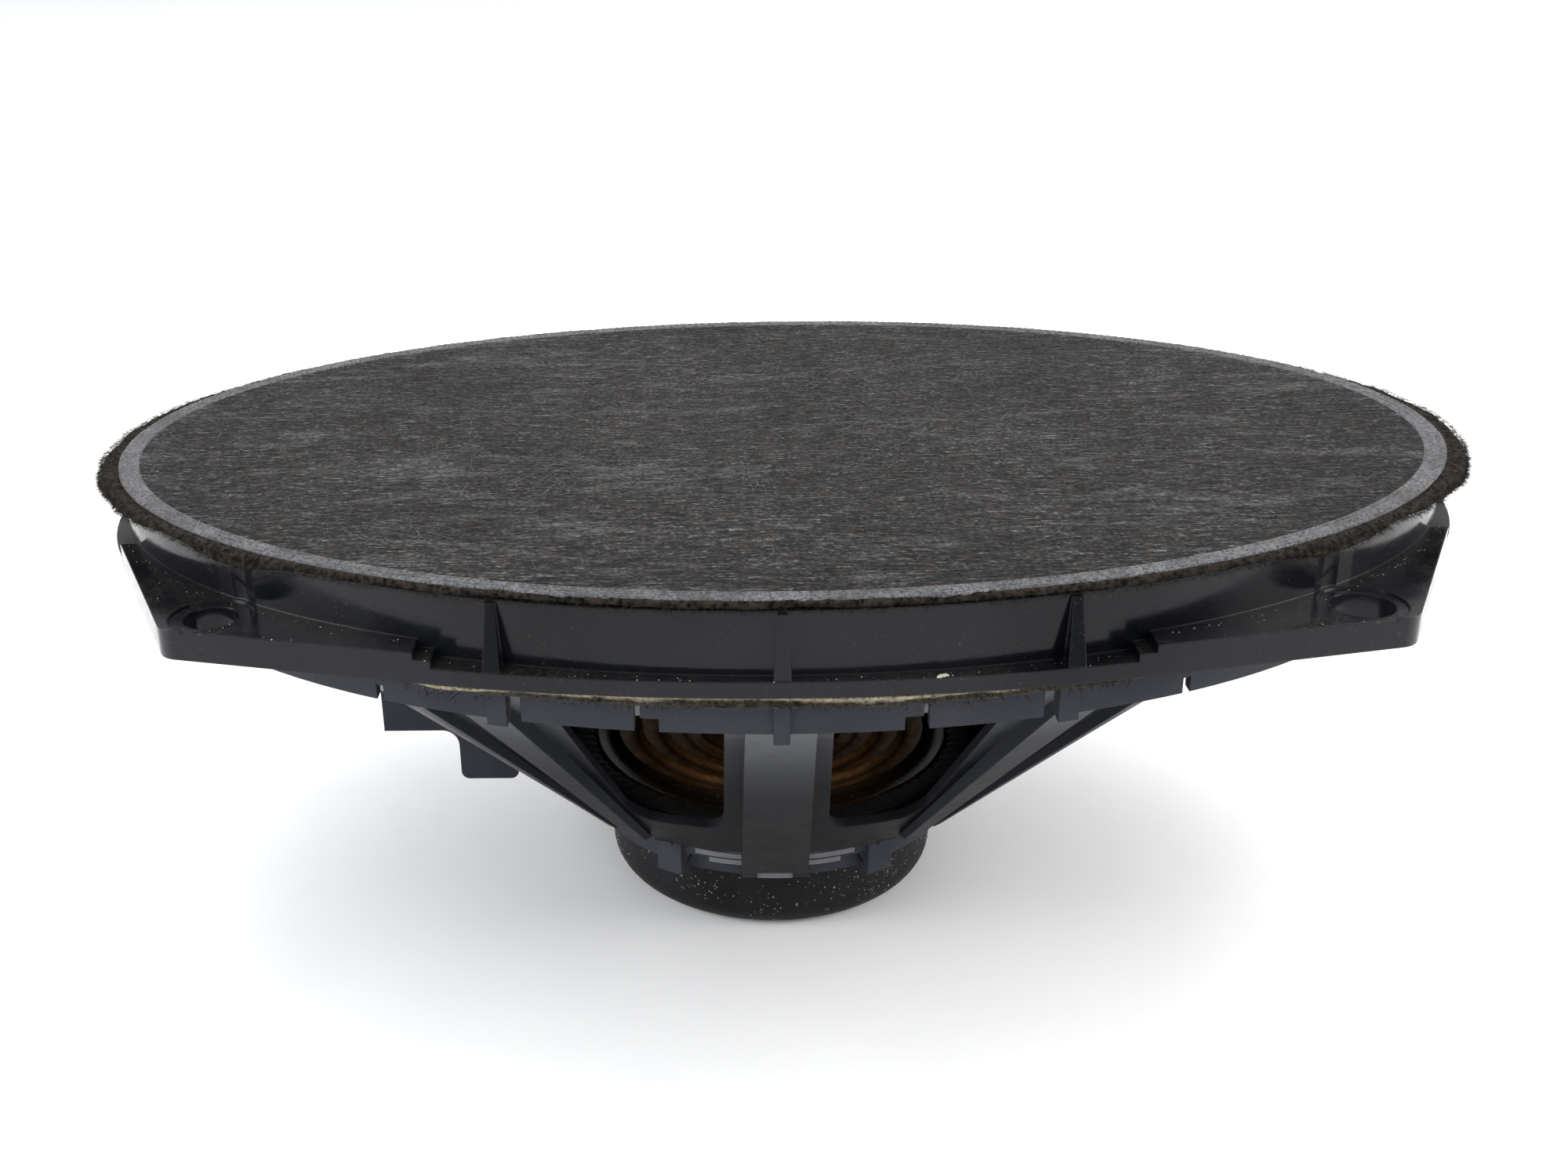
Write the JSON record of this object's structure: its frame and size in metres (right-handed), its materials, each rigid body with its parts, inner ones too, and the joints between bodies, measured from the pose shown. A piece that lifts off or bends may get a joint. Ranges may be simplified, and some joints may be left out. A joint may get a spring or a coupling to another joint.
{
  "type": "coaxial car speaker",
  "caption": "Oval coaxial car loudspeaker with a cloth-covered front, moulded basket with eared mounting flange, spider, cone, round motor and side connector.",
  "frame": {"origin": "centre of the motor's flat rear face, on the axis of cone and tweeter", "axes": "+Z along the axis from the motor to the cloth front; +X along the oval's long axis, away from the connector; +Y along the short axis"},
  "size_m": [0.23, 0.1582, 0.0839],
  "materials": {
    "basket_plastic": "satin moulded black plastic",
    "flange_plastic": "glossy moulded black plastic, dusty on the ledges",
    "felt": "dark brown-grey felt with a fuzzy cut edge",
    "scrim": "charcoal nonwoven cloth, paler weld bead at its edge",
    "foam": "open-cell foam, aged khaki",
    "brass": "tinned brass",
    "boot_rubber": "matte black moulded rubber",
    "plated_steel": "zinc-plated steel",
    "ferrite": "matte grey-black sintered ferrite",
    "spider_ring": "black fibre board",
    "spider_cloth": "amber resin-dipped cotton",
    "surround_rubber": "soft black rubber",
    "cone_paper": "black pressed paper",
    "aluminium": "plain aluminium",
    "copper_wire": "enamelled copper wire",
    "tinsel": "braided copper tinsel",
    "tweeter_plastic": "satin moulded black plastic",
    "neodymium": "nickel-plated",
    "dome_cloth": "doped silk",
    "capacitor_sleeve": "blue shrink sleeve",
    "lead_insulation": "black insulation"
  },
  "bodies": {
    "frame": {"basket": "basket_plastic", "flange_frame": "flange_plastic", "felt_rim": "felt", "scrim_cover": "scrim", "mounting_gasket": "foam", "connector_housing": "basket_plastic", "terminal_pins": "brass", "magnet_boot": "boot_rubber", "t_yoke": "plated_steel", "ferrite_magnet": "ferrite", "top_plate": "plated_steel", "motor_rivets": "plated_steel", "spider_ring": "spider_ring", "spider": "spider_cloth", "surround": "surround_rubber", "tinsel_leads": "tinsel", "tweeter_post": "aluminium", "tweeter_post_nut": "plated_steel", "tweeter_housing": "tweeter_plastic", "tweeter_yoke": "plated_steel", "tweeter_magnet": "neodymium", "tweeter_pole_piece": "plated_steel", "tweeter_faceplate": "tweeter_plastic", "crossover_capacitor": "capacitor_sleeve", "tweeter_leads": "lead_insulation"},
    "cone_assembly": {"cone": "cone_paper", "voice_coil_former": "aluminium", "voice_coil": "copper_wire", "dust_seal": "foam", "lead_eyelets": "brass"},
    "tweeter_diaphragm": {"tweeter_dome": "dome_cloth", "tweeter_voice_coil": "copper_wire"}
  },
  "joints": [
    {"name": "cone_travel", "type": "slide", "parent": "frame", "child": "cone_assembly", "axis": [0, 0, 1], "range_m": [-0.004, 0.004], "stiffness_N_per_m": 2000, "deforming": ["spider", "surround", "tinsel_leads", "tweeter_leads"]},
    {"name": "tweeter_dome_travel", "type": "slide", "parent": "frame", "child": "tweeter_diaphragm", "axis": [0, 0, 1], "range_m": [-0.0003, 0.0003], "stiffness_N_per_m": 1500}
  ]
}
